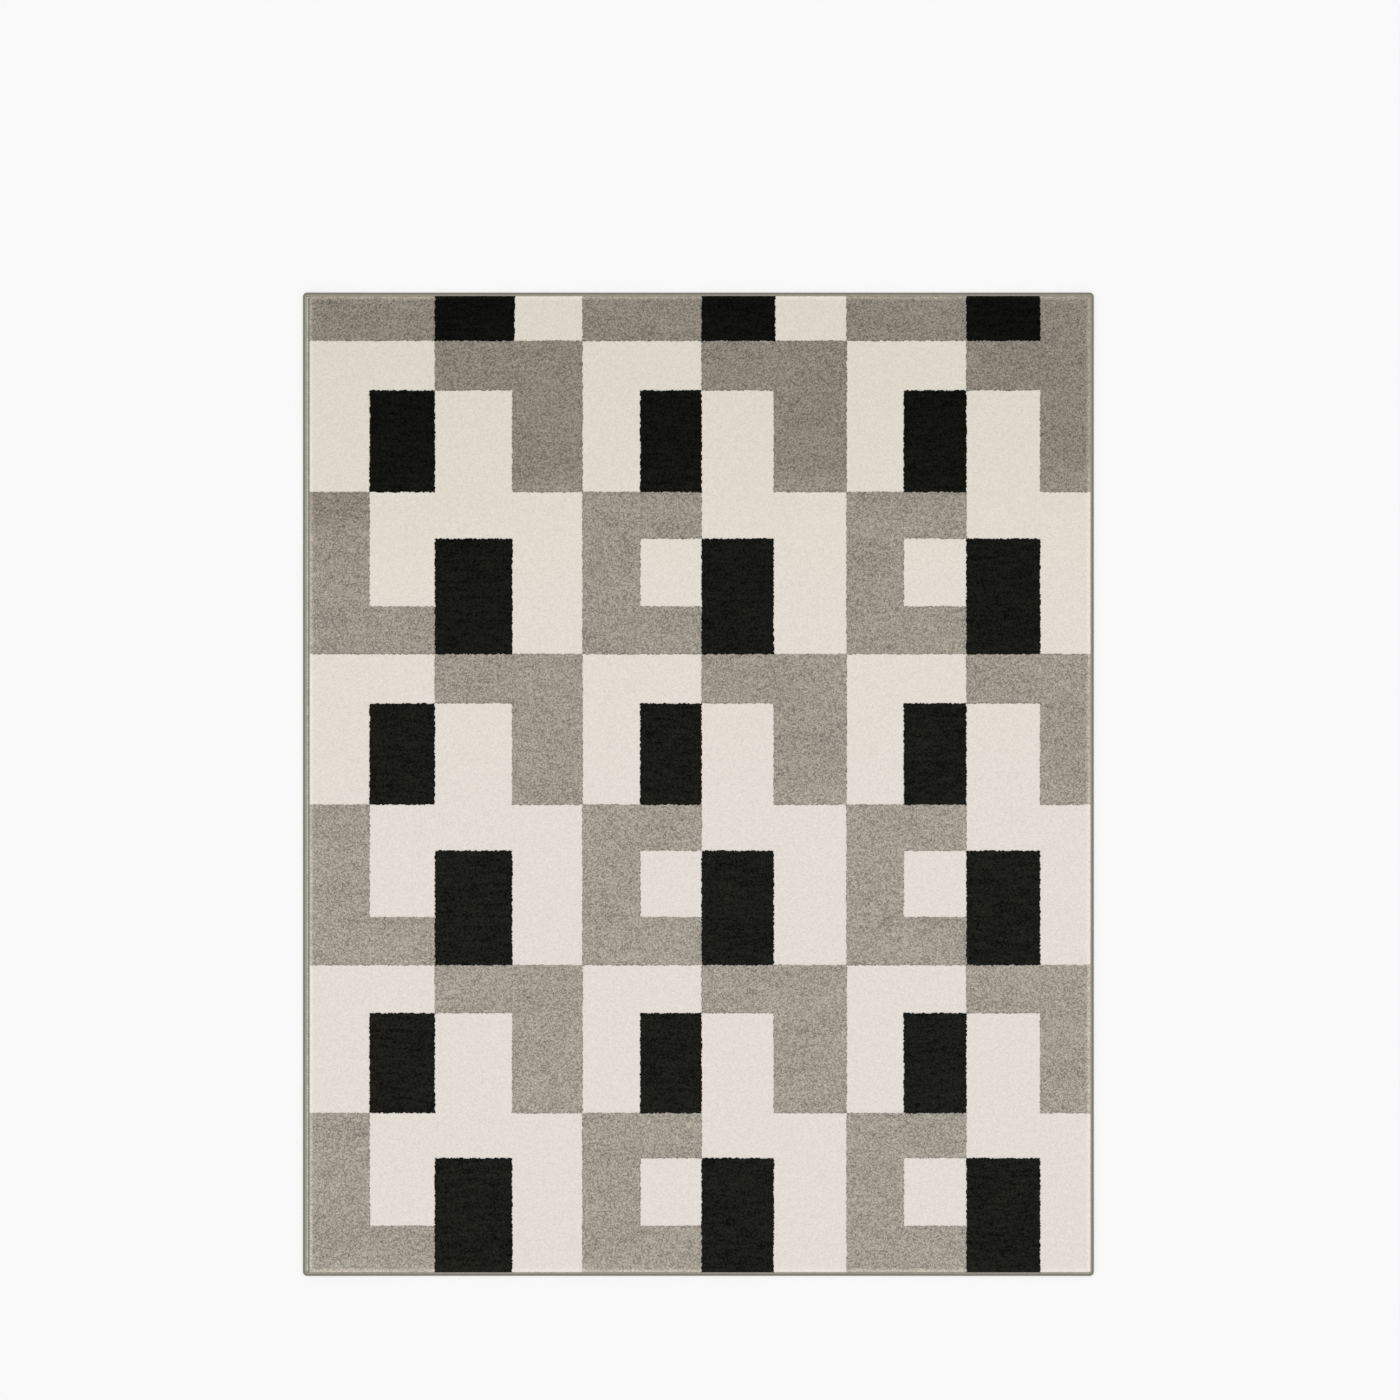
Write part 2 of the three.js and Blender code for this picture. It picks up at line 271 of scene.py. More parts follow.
# Colour stops from the near end to the far end of the rug; their darkening is painted shade.
cream_yarn = pile_material(
    "cream_heatset_polypropylene_cut_pile",
    [(0.45, "#DED7CF"), (0.65, "#DDD6CD"), (0.82, "#DAD4C8"), (1.0, "#D6D0C4")],
    grain=0.12, gap_shade=0.08, streak=0.03, patch=0.02, rim_highlight=0.12, gloss=0.15, sheen=0.05, roughness=0.95)
grey_yarn = pile_material(
    "grey_melange_polypropylene_cut_pile",
    [(0.46, "#9D968B"), (0.52, "#989287"), (0.78, "#968F84"), (0.83, "#877F74"), (1.0, "#867F74")],
    grain=0.86, gap_shade=0.25, streak=0.36, patch=0.30, rim_highlight=0.60, gloss=0.15, sheen=0.05, roughness=0.95)
black_yarn = pile_material(
    "black_heatset_polypropylene_cut_pile",
    [(0.45, "#1A1A16"), (0.58, "#181814"), (0.75, "#151511"), (0.88, "#10110D"), (1.0, "#0C0C0A")],
    grain=1.45, gap_shade=0.30, streak=1.60, patch=0.70, rim_highlight=0.5, gloss=0.04, sheen=0.0, roughness=0.95)

# %% [markdown]
# ## Reading the woven pattern
#
# The loom works on a grid: a colour changes only where a column or a row of the pattern ends. The
# frame's pile solids have straight walls on those lines, so the lines are read back from the walls.
# Each cell between two lines is then given to the solid whose top covers its middle. In the opening row
# the black yarn spreads a few millimetres past its column, which shows as a sliver between two lines.

# %% Pattern lines and the yarn in each cell
LONG_WALL = 20 * MM  # the rounded corners of a block have shorter facets
SLIVER = 20 * MM  # no column is as narrow
FLAT = 0.01 * MM
GAP_AT_MOST = 1 * MM


def triangles_of(node):
    """The triangles of a frame solid, as an array of three corners each."""
    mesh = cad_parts[node].data
    points = np.empty(len(mesh.vertices) * 3)
    mesh.vertices.foreach_get("co", points)
    corners = np.empty(len(mesh.loops), int)
    mesh.loops.foreach_get("vertex_index", corners)
    return points.reshape(-1, 3)[corners.reshape(-1, 3)]


def wall_lines(solids, axis):
    """Where long walls across an axis stand. The two faces of one narrow gap make one line."""
    places = []
    for triangles in solids.values():
        flat = np.ptp(triangles[:, :, axis], axis=1) < FLAT
        long = np.ptp(triangles[:, :, 1 - axis], axis=1) > LONG_WALL
        places.extend(triangles[flat & long, 0, axis])
    places = np.sort(places)
    groups = np.split(places, np.where(np.diff(places) > GAP_AT_MOST)[0] + 1)
    return np.array([(group[0] + group[-1]) / 2 for group in groups])


def covers(triangles, x, y):
    """Whether the level top of a solid lies over the point x, y."""
    top = triangles[:, :, 2].max()
    level = triangles[triangles[:, :, 2].min(axis=1) > top - FLAT][:, :, :2]
    a, b, c = level[:, 0], level[:, 1], level[:, 2]
    sides = []
    for start, end in ((a, b), (b, c), (c, a)):
        edge = end - start
        sides.append(edge[:, 0] * (y - start[:, 1]) - edge[:, 1] * (x - start[:, 0]))
    sides = np.array(sides)
    return bool(((sides >= 0).all(axis=0) | (sides <= 0).all(axis=0)).any())


pile_solids = {node: triangles_of(node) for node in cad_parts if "_pile" in node}
column_lines = wall_lines(pile_solids, 0)
row_lines = wall_lines(pile_solids, 1)
column_middles = (column_lines[:-1] + column_lines[1:]) / 2
row_middles = (row_lines[:-1] + row_lines[1:]) / 2
yarn_map = [[next(n for n, t in pile_solids.items() if covers(t, x, y)) for x in column_middles]
            for y in row_middles]
is_sliver = np.diff(column_lines) < SLIVER
column_number = np.concatenate([[1], 1 + np.cumsum(~is_sliver)[:-1]])
print(f"pattern: {column_number[-1]} columns, {is_sliver.sum()} slivers and {len(row_middles)} rows")

# %% Blocks: cells of one yarn that join edge to edge
def find_blocks(names):
    """A number for each cell of the pattern, shared over each joined block, and the blocks' solids."""
    number = -np.ones((len(names), len(names[0])), int)
    solids = []
    for row, column in np.ndindex(number.shape):
        if number[row, column] >= 0:
            continue
        waiting = [(row, column)]
        while waiting:
            r, c = waiting.pop()
            on_map = 0 <= r < number.shape[0] and 0 <= c < number.shape[1]
            if on_map and number[r, c] < 0 and names[r][c] == names[row][column]:
                number[r, c] = len(solids)
                waiting += [(r + 1, c), (r - 1, c), (r, c + 1), (r, c - 1)]
        solids.append(names[row][column])
    return number, solids


block_of_cell, block_solids = find_blocks(yarn_map)
print(f"{len(block_solids)} blocks of pile")

# %% [markdown]
# ## Cutting the pile face into tufts
#
# One fine lattice of points covers the whole face, with a point about every 4 mm. Blocks share its
# points along the line where they meet, and the points there are pushed across that line tuft by tuft,
# so both sides of a colour change wander together. That gives the ragged edge of woven pile, and the
# blocks never run into each other. The top is uneven by a few tenths of a millimetre, as sheared pile
# is, and rolls over a little at each block's rim.
#
# Along the outer rim of the rug the last tufts have no neighbours to hold them up. They lean out over
# the serging in an uneven lip, and a painted highlight makes that rim paler. Beside the selvedge they
# stand up straighter. There and at the two cut ends they are trimmed back by about a millimetre.

# %% The lattice of the pile face
LATTICE = 4.0 * MM
EDGE_WANDER = 2.8 * MM
INNER_WANDER = 0.7 * MM
END_TRIM = 1.2 * MM
SELVEDGE_TRIM = 1.0 * MM
HALF_GAP = 0.15 * MM
RIM_DROP = 0.35 * MM
SHEAR_MARKS = 0.5 * MM
ROLL_OVER = 1.6 * MM
LIP = 0.8 * MM
SELVEDGE_LIP = 0.2 * MM
LIP_LEVELS = [(0.0, 0.6), (0.3, 1.0), (0.62, 0.1), (1.0, 0.0)]
# Strength of the painted rim highlight, tuft by tuft from the rim inwards.
RIM_HIGHLIGHT = [1.0, 1.0, 0.6, 0.2]


def lattice_lines(lines):
    """Splits each stretch between pattern lines evenly. Gives the places and each line's index."""
    places, index = [lines[0]], [0]
    for start, end in zip(lines[:-1], lines[1:]):
        steps = max(1, round((end - start) / LATTICE))
        places.extend(np.linspace(start, end, steps + 1)[1:])
        index.append(index[-1] + steps)
    return np.array(places), index


lattice_x, column_index = lattice_lines(column_lines)
lattice_y, row_index = lattice_lines(row_lines)
lattice_block = np.repeat(np.repeat(block_of_cell, np.diff(row_index), axis=0),
                          np.diff(column_index), axis=1)
grid_x, grid_y = np.meshgrid(lattice_x, lattice_y)


def wander(seed, on_line):
    """A push at every lattice point, tuft by tuft over a slow drift, stronger where colours meet."""
    tuft_by_tuft = np.random.RandomState(seed).uniform(-1, 1, grid_x.shape)
    drift = smooth_random(grid_x, grid_y, 40 * MM, seed + 1)
    return np.where(on_line, EDGE_WANDER, INNER_WANDER) * (0.85 * tuft_by_tuft + 0.15 * drift)


def face_fields():
    """How far each lattice point wanders sideways, and how high the sheared pile stands there."""
    around = np.pad(lattice_block, 1, mode="edge")
    over, down = around[:, 1:] != around[:, :-1], around[1:] != around[:-1]
    wander_x = wander(21, over[1:] | over[:-1])
    wander_y = wander(23, down[:, 1:] | down[:, :-1])
    wander_x[:, 0], wander_x[:, -1] = SELVEDGE_TRIM, 0
    wander_y[0], wander_y[-1] = END_TRIM, -END_TRIM
    rough = np.random.RandomState(25).uniform(-1, 1, grid_x.shape)
    height = 0.6 * rough + 0.4 * smooth_random(grid_x, grid_y, 22 * MM, 26)
    return wander_x, wander_y, height * SHEAR_MARKS


def painted_rim_highlight():
    """Painted highlight on the rug's outer rim: 1 at the rim, falling to 0 a few tufts in."""
    rows, columns = grid_x.shape
    down, over = np.arange(rows), np.arange(columns)
    from_rim = np.minimum(np.minimum(down, down[::-1])[:, None], np.minimum(over, over[::-1])[None, :])
    return np.array(RIM_HIGHLIGHT + [0.0])[np.minimum(from_rim, len(RIM_HIGHLIGHT))]


wander_x, wander_y, shear_height = face_fields()
rim_highlight = painted_rim_highlight()
shear_height[:, [0, -1]] -= ROLL_OVER
shear_height[[0, -1], 1:-1] -= ROLL_OVER
lip_x, lip_y = np.zeros_like(grid_x), np.zeros_like(grid_x)
lip_x[:, 0], lip_x[:, -1], lip_y[0], lip_y[-1] = -SELVEDGE_LIP, LIP, -LIP, LIP
lip_size = 1 + 0.5 * np.random.RandomState(27).uniform(-1, 1, grid_x.shape)
print(f"lattice: {grid_x.shape[1]} by {grid_x.shape[0]} points, "
      f"{np.mean(np.diff(lattice_x)) / MM:.2f} mm apart")

# %% One block of pile
def block_mesh(block, foot, top):
    """Points, faces, smoothness, flat layout and painted rim highlight of one block: top grid, walls
    and foot.
    """
    rows, columns = np.where(lattice_block == block)
    r0, r1, c0, c1 = rows.min(), rows.max() + 2, columns.min(), columns.max() + 2
    inside = np.pad(lattice_block[r0:r1 - 1, c0:c1 - 1] == block, 1)
    quads = [inside[:-1, :-1], inside[:-1, 1:], inside[1:, :-1], inside[1:, 1:]]
    count = sum(q.astype(int) for q in quads)
    used = count > 0
    rim = used & (count < 4)
    inward_x = np.sign(quads[1].astype(int) + quads[3] - quads[0] - quads[2])
    inward_y = np.sign(quads[2].astype(int) + quads[3] - quads[0] - quads[1])

    crop = (slice(r0, r1), slice(c0, c1))
    x = grid_x[crop] + wander_x[crop] + np.where(rim, HALF_GAP * inward_x, 0)
    y = grid_y[crop] + wander_y[crop] + np.where(rim, HALF_GAP * inward_y, 0)
    z = top + shear_height[crop] - np.where(rim, RIM_DROP, 0)
    number = -np.ones(used.shape, int)
    number[used] = np.arange(used.sum())
    points = np.column_stack([x[used], y[used], z[used]])

    cells = inside[1:-1, 1:-1]
    grid = np.stack([number[:-1, :-1], number[:-1, 1:], number[1:, 1:], number[1:, :-1]],
                    axis=-1)[cells]

    following = {}
    for dr, dc, start, end in ((-1, 0, (0, 0), (0, 1)), (0, 1, (0, 1), (1, 1)),
                               (1, 0, (1, 1), (1, 0)), (0, -1, (1, 0), (0, 0))):
        outside = cells & ~np.roll(inside, (-dr, -dc), axis=(0, 1))[1:-1, 1:-1]
        for r, c in np.argwhere(outside):
            following[number[r + start[0], c + start[1]]] = number[r + end[0], c + end[1]]
    first = next(iter(following))
    loop = [first]
    while following[loop[-1]] != first:
        loop.append(following[loop[-1]])
    loop = np.array(loop)

    lean = np.column_stack([(field[crop] * lip_size[crop])[used][loop] for field in (lip_x, lip_y)])
    rings = []
    for depth, reach in LIP_LEVELS:
        ring = points[loop].copy()
        ring[:, :2] += reach * lean
        ring[:, 2] += depth * (foot - ring[:, 2])
        rings.append(ring)
    points[loop] = rings[0]
    added = len(points) + np.arange((len(rings) - 1) * len(loop)).reshape(-1, len(loop))
    number_of = np.vstack([loop, added])
    onward = np.roll(number_of, -1, axis=1)
    walls = np.stack([number_of[:-1], number_of[1:], onward[1:], onward[:-1]], axis=-1).reshape(-1, 4)
    faces = grid.tolist() + walls.tolist() + [number_of[-1][::-1].tolist()]
    free = (lean != 0).any(axis=1)
    smooth = [True] * len(grid) + np.tile(free & np.roll(free, -1), len(rings) - 1).tolist() + [False]

    low, size = points[:, :2].min(axis=0), np.ptp(points[:, :2], axis=0)
    flat = (points[:, :2] - low) / size
    uv_top = flat[grid] * [0.98, 0.93] + 0.01
    around = np.arange(len(loop) + 1) / len(loop)
    strip = []
    for upper, lower in zip(LIP_LEVELS[:-1], LIP_LEVELS[1:]):
        v_upper, v_lower = 0.99 - 0.02 * upper[0], 0.99 - 0.02 * lower[0]
        corners = ((around[:-1], v_upper), (around[:-1], v_lower),
                   (around[1:], v_lower), (around[1:], v_upper))
        strip.append(np.stack([np.column_stack([u, np.full(len(u), v)]) for u, v in corners], axis=1))
    uv_foot = flat[loop][::-1] * [0.2, 0.015] + [0.01, 0.95]
    uv = np.concatenate([uv_top.reshape(-1, 2), np.concatenate(strip).reshape(-1, 2), uv_foot])
    highlight_top = rim_highlight[crop][used]
    highlight_all = np.concatenate([highlight_top, np.tile(highlight_top[loop], len(rings) - 1)])
    return np.vstack([points, *rings[1:]]), faces, smooth, uv, highlight_all


print(f"a block's walls run down to the weave in {len(LIP_LEVELS) - 1} steps, and its foot closes it")

# %% Build every block
yarns = {"cream": cream_yarn, "grey": grey_yarn, "black": black_yarn}
pile_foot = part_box("cream_pile")[0].z
for block, solid in enumerate(block_solids):
    colour = solid.split("_")[0]
    pile_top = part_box(solid)[1].z
    cells = np.argwhere(block_of_cell == block)
    row = cells[:, 0].max()
    column = cells[cells[:, 0] == row, 1].min()
    name = f"{colour}_tufts_row{len(row_middles) - row}_col{column_number[column]}"
    *shape, rim = block_mesh(block, pile_foot, pile_top)
    piece = new_mesh(name, *shape)
    name_field(piece, "rim_highlight", rim)
    finish_piece(piece, yarns[colour], f"{colour}_pile", solid)

# %% [markdown]
# ## Serging yarn
#
# The cut edge is overlocked: a bulky grey yarn is wrapped over and over round the margin of the
# weave, so close that the wraps hide it. It could be a bump on a plain roll, but the wraps are what
# makes the edge look sewn, so each one is a real ridge, leaning a little along the edge. The ridged
# roll is swept along each side and round each corner, and it stays open inside for the weave.

# %% Serging material
def serging_material():
    """Bulked acrylic serging yarn: matt, dull green-grey, with painted shade on the nose and a painted
    highlight by the pile.
    """
    material = bpy.data.materials.new("bulked_acrylic_serging_yarn")
    material.use_nodes = True
    tree = material.node_tree
    shader = tree.nodes["Principled BSDF"]
    place = add_node(tree, "TexCoord", {}).outputs["Object"]
    across = add_node(tree, "Attribute", {}, attribute_name="inset").outputs["Fac"]
    plies = add_node(tree, "TexNoise", {"Vector": place, "Scale": 1 / (0.9 * MM), "Detail": 2.0})
    wraps = add_node(tree, "TexNoise", {"Vector": place, "Scale": 1 / (9 * MM), "Detail": 1.0})
    # Painted shade and highlight: dark on the nose of the roll, pale along its top by the pile.
    ramp = add_node(tree, "ValToRGB", {"Fac": across})
    ramp.color_ramp.elements[0].color = linear("#78756A")
    ramp.color_ramp.elements[0].position = 0.60
    ramp.color_ramp.elements[1].color = linear("#B2AFA3")
    ramp.color_ramp.elements[1].position = 0.92
    # Painted shade in the grooves between the wraps.
    groove = add_node(tree, "Attribute", {}, attribute_name="groove").outputs["Fac"]
    light = 0.85
    for source, strength in ((plies.outputs["Fac"], 0.5), (wraps.outputs["Fac"], 0.2), (groove, -0.45)):
        light = add_node(tree, "Math", {0: source, 1: strength, 2: light},
                         operation="MULTIPLY_ADD").outputs[0]
    colour = add_node(tree, "VectorMath", {"Vector": ramp.outputs["Color"], "Scale": light},
                      operation="SCALE")
    bump = add_node(tree, "Bump", {"Height": plies.outputs["Fac"], "Strength": 0.8,
                                   "Distance": 0.4 * MM})
    tree.links.new(colour.outputs["Vector"], shader.inputs["Base Color"])
    tree.links.new(bump.outputs["Normal"], shader.inputs["Normal"])
    shader.inputs["Roughness"].default_value = 0.85
    shader.inputs["IOR"].default_value = 1.49
    shader.inputs["Specular IOR Level"].default_value = 0.25
    shader.inputs["Sheen Weight"].default_value = 0.1
    return material


serging_yarn = serging_material()
print("serging: dull outside, paler along the pile")

# %% The section of the wrapped edge
WRAP_PITCH = 3.2 * MM
WRAP_DEPTH = 0.8 * MM
WRAP_LEAN = 0.8
STATIONS = 4  # points along the edge for each wrap
GAP = 0.3 * MM
weave_low, weave_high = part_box("ground_weave")
side_low, side_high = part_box("serging_right_side")
serging_width = side_high.x - side_low.x
serging_height = side_high.z


def serging_section():
    """Points as [in from the outer edge, height], how deep the wraps cut there, and a 0 to 1 place."""
    nose = serging_height / 2
    turn = np.radians(np.linspace(-90, 90, 9))
    under = [[serging_width, 0], [(serging_width + nose) / 2, 0]]
    front = np.column_stack([nose - nose * np.cos(turn), nose + nose * np.sin(turn)]).tolist()
    over = [[u, serging_height] for u in np.linspace(nose, serging_width - 1.6 * MM, 4)[1:]]
    over += [[serging_width - 0.5 * MM, serging_height - 0.5 * MM],
             [serging_width, serging_height - 1.5 * MM]]
    wrapped = np.array(under + front + over)
    slot = np.array([[serging_width, weave_high.z + GAP], [nose, weave_high.z + GAP],
                     [nose, weave_low.z - GAP], [serging_width, weave_low.z - GAP]])
    step = np.gradient(wrapped, axis=0)
    inward = np.column_stack([-step[:, 1], step[:, 0]])
    inward *= -np.sign((inward * (wrapped - [nose * 1.5, nose])).sum(axis=1, keepdims=True))
    inward /= np.linalg.norm(inward, axis=1, keepdims=True)
    inward = np.vstack([inward, np.zeros_like(slot)])
    place = np.concatenate([np.linspace(0, 1, len(wrapped)), [1, 1, 0, 0]])
    return np.vstack([wrapped, slot]), inward, place


section, section_inward, section_place = serging_section()
print(f"serging: {serging_width / MM:.0f} mm wide, {serging_height / MM:.1f} mm high, "
      f"a wrap every {WRAP_PITCH / MM:.1f} mm")

# %% Sweep the section along one stretch of edge
def sweep_serging(name, edge, outward, travelled):
    """A roll of wraps. edge are points on the rug's outline, and outward point out of the rug."""
    stations, around = len(edge), len(section)
    wraps = round(travelled[-1] / WRAP_PITCH)
    phase = wraps * travelled[:, None] / travelled[-1] + WRAP_LEAN * section_place[None, :]
    groove = 1 - np.abs(np.cos(np.pi * phase))
    cut = WRAP_DEPTH * groove
    inset = section[None, :, 0] + cut * section_inward[None, :, 0]
    height = section[None, :, 1] + cut * section_inward[None, :, 1]
    points = np.empty((stations, around, 3))
    points[:, :, :2] = edge[:, None, :] - outward[:, None, :] * inset[:, :, None]
    points[:, :, 2] = height

    number = np.arange(stations * around).reshape(stations, around)
    right = np.roll(number, -1, axis=1)
    skin = np.stack([number[:-1], number[1:], right[1:], right[:-1]], axis=-1).reshape(-1, 4)
    faces = skin.tolist() + [number[0].tolist(), number[-1][::-1].tolist()]
    smooth = [True] * len(skin) + [False, False]

    u = np.arange(around + 1) / around
    v = 0.97 * np.arange(stations) / (stations - 1)
    u0, v0 = np.meshgrid(u[:-1], v[:-1])
    u1, v1 = np.meshgrid(u[1:], v[1:])
    skin_uv = np.stack([u0, v0, u0, v1, u1, v1, u1, v0], axis=-1).reshape(-1, 2)
    cap = section / serging_width * [0.02, 0.02] + [0.01, 0.975]
    uv = np.concatenate([skin_uv, cap, cap[::-1] + [0.05, 0]])
    piece = new_mesh(name, points.reshape(-1, 3), faces, smooth, uv)
    name_field(piece, "inset", np.tile(section[:, 0] / serging_width, stations))
    name_field(piece, "groove", groove.ravel())
    return piece


def side_path(node):
    """The outer edge of a straight length, walked anticlockwise round the rug to touch the corners."""
    low, high = (np.array(corner[:2]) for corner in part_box(node))
    middle, half = (low + high) / 2, (high - low) / 2
    thin = int(half[1] < half[0])
    outward = np.zeros(2)
    outward[thin] = np.sign(middle[thin])
    along = np.array([-outward[1], outward[0]])
    length = 2 * (half[1 - thin] + GAP / 2)
    travelled = np.linspace(0, length, STATIONS * round(length / WRAP_PITCH) + 1)
    start = middle + outward * half[thin] - along * length / 2
    return start + travelled[:, None] * along, np.tile(outward, (len(travelled), 1)), travelled


def corner_path(node):
    """The outer edge of a corner: a quarter circle round the corner of its box nearest the middle."""
    low, high = (np.array(corner[:2]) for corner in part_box(node))
    side = np.sign(low + high)
    centre = np.where(side > 0, low, high)
    radius = (high - low).max()
    first = math.atan2(side[1], side[0]) - math.pi / 4
    length = radius * math.pi / 2
    travelled = np.linspace(0, length, STATIONS * round(length / WRAP_PITCH) + 1)
    angle = first + travelled / radius
    outward = np.column_stack([np.cos(angle), np.sin(angle)])
    return centre + radius * outward, outward, travelled


# %% Wrap the four sides and the four corners
serging_pieces = []
for node in sorted(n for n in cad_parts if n.startswith("serging_")):
    path = corner_path(node) if node.endswith("corner") else side_path(node)
    piece = sweep_serging(node.replace("serging", "serging_wraps"), *path)
    serging_pieces.append(finish_piece(piece, serging_yarn, "serging_yarn", node))
wraps = sum(len(p.data.vertices) for p in serging_pieces) // len(section) // STATIONS
print(f"{len(serging_pieces)} pieces with about {wraps} wraps")

# %% [markdown]
# ## The left selvedge and its stitches
#
# Along one long side the weave runs on bare for a few millimetres before the serging. Two firm cords
# stand up there with a furrow between them, and a row of dark stitches runs in the furrow.

# %% A ribbed cloth: a closed sheet with its own height at each point
def round_corners(points, radius):
    """Narrows a sheet about the rug's middle near both ends, so that its four corners are round."""
    half = np.abs(points[:, :2]).max(axis=0)
    short = np.clip(radius - (half[1] - np.abs(points[:, 1])), 0, radius)
    points[:, 0] *= 1 - (radius - np.sqrt(radius ** 2 - short ** 2)) / half[0]
    return points


def cloth_mesh(x_places, y_places, top, bottom, corner=1e-6):
    """Points, faces, smoothness and flat layout of a thin closed sheet between two height functions."""
    x, y = np.meshgrid(x_places, y_places)
    rows, columns = x.shape
    upper = np.column_stack([x.ravel(), y.ravel(), np.broadcast_to(top(x, y), x.shape).ravel()])
    lower = np.column_stack([x.ravel(), y.ravel(), np.broadcast_to(bottom(x, y), x.shape).ravel()])
    number = np.arange(rows * columns).reshape(rows, columns)
    cell = np.stack([number[:-1, :-1], number[:-1, 1:], number[1:, 1:], number[1:, :-1]],
                    axis=-1).reshape(-1, 4)
    under = cell[:, ::-1] + rows * columns
    loop = np.concatenate([number[0, :-1], number[:-1, -1], number[-1, :0:-1], number[:0:-1, 0]])
    onward = np.roll(loop, -1)
    walls = np.column_stack([loop, loop + rows * columns, onward + rows * columns, onward])
    faces = np.vstack([cell, under, walls]).tolist()
    smooth = [True] * (2 * len(cell)) + [False] * len(walls)

    flat = (upper[:, :2] - upper[:, :2].min(axis=0)) / np.ptp(upper[:, :2], axis=0)
    uv_top = flat[cell] * [0.48, 0.96] + [0.005, 0.005]
    uv_under = flat[cell[:, ::-1]] * [0.48, 0.96] + [0.505, 0.005]
    edge = np.arange(len(loop)) / len(loop)
    edge_next = edge + 1 / len(loop)
    uv_wall = np.stack([np.column_stack([edge, np.full(len(loop), 0.995)]),
                        np.column_stack([edge, np.full(len(loop), 0.975)]),
                        np.column_stack([edge_next, np.full(len(loop), 0.975)]),
                        np.column_stack([edge_next, np.full(len(loop), 0.995)])], axis=1)
    uv = np.concatenate([part.reshape(-1, 2) for part in (uv_top, uv_under, uv_wall)])
    return round_corners(np.vstack([upper, lower]), corner), faces, smooth, uv


def zigzag(y, pitch):
    """1 on a rib and 0 in a furrow, for points that step half a rib at a time."""
    return np.abs((y / pitch) % 1.0 - 0.5) * 2


def even_steps(start, end, step):
    """Places from start to end, about one step apart, with an even count of steps."""
    return np.linspace(start, end, 2 * round((end - start) / step / 2) + 1)


print("cloth helper ready")

# %% Selvedge cords
CORD_RIB = 3.2 * MM
CORD_FOOT = 0.5 * MM
CORD_SWELL = 1.4  # the cords stand this much prouder than the plain band
band_low, band_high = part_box("selvedge_band")
stitch_low, stitch_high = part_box("selvedge_stitch_row")
furrow_x = (stitch_low.x + stitch_high.x) / 2


def cord_height(x, y):
    """A broad cord and a narrow one with a furrow between, nipped by a weft at every rib."""
    share = np.where(x < furrow_x, (x - band_low.x) / (furrow_x - band_low.x),
                     (x - furrow_x) / (band_high.x - furrow_x))
    humps = np.abs(np.sin(np.pi * share)) ** 0.6
    nip = 0.75 + 0.25 * zigzag(y - band_low.y, CORD_RIB)
    return band_low.z + CORD_FOOT + (band_high.z - band_low.z - CORD_FOOT) * CORD_SWELL * humps * nip


def woven_material(name, dark, pale, thread, sheen):
    """Plain woven cloth of matt yarn, with fibre noise at the size of a thread."""
    material = bpy.data.materials.new(name)
    material.use_nodes = True
    tree = material.node_tree
    shader = tree.nodes["Principled BSDF"]
    place = add_node(tree, "TexCoord", {}).outputs["Object"]
    fibres = add_node(tree, "TexNoise", {"Vector": place, "Scale": 1 / thread, "Detail": 3.0})
    patches = add_node(tree, "TexNoise", {"Vector": place, "Scale": 1 / (12 * thread), "Detail": 1.0})
    mixed = add_node(tree, "Math", {0: fibres.outputs["Fac"], 1: patches.outputs["Fac"]},
                     operation="MULTIPLY")
    ramp = add_node(tree, "ValToRGB", {"Fac": mixed.outputs[0]})
    ramp.color_ramp.elements[0].color = linear(dark)
    ramp.color_ramp.elements[0].position = 0.1
    ramp.color_ramp.elements[1].color = linear(pale)
    ramp.color_ramp.elements[1].position = 0.42
    bump = add_node(tree, "Bump", {"Height": fibres.outputs["Fac"], "Strength": 0.5,
                                   "Distance": 0.2 * MM})
    tree.links.new(ramp.outputs["Color"], shader.inputs["Base Color"])
    tree.links.new(bump.outputs["Normal"], shader.inputs["Normal"])
    shader.inputs["Roughness"].default_value = 0.9
    shader.inputs["IOR"].default_value = 1.5
    shader.inputs["Specular IOR Level"].default_value = 0.2
    shader.inputs["Sheen Weight"].default_value = sheen
    return material


selvedge_cloth = woven_material("polyester_selvedge_cords", "#A6A398", "#CCC9BF", 1.2 * MM, 0.05)
cords = new_mesh("selvedge_cords", *cloth_mesh(
    np.concatenate([np.linspace(band_low.x, furrow_x, 8), np.linspace(furrow_x, band_high.x, 6)[1:]]),
    even_steps(band_low.y, band_high.y, CORD_RIB / 2), cord_height, lambda x, y: band_low.z + 0 * x))
finish_piece(cords, selvedge_cloth, "selvedge_cloth", "selvedge_band")
print(f"selvedge: {(band_high.x - band_low.x) / MM:.1f} mm wide, {len(cords.data.polygons)} faces")

# %% Stitches in the furrow
STITCH_PITCH = 9 * MM
STITCH_LENGTH = 7.8 * MM
STITCH_ARCH = 0.5 * MM
STITCH_SINK = 0.3 * MM


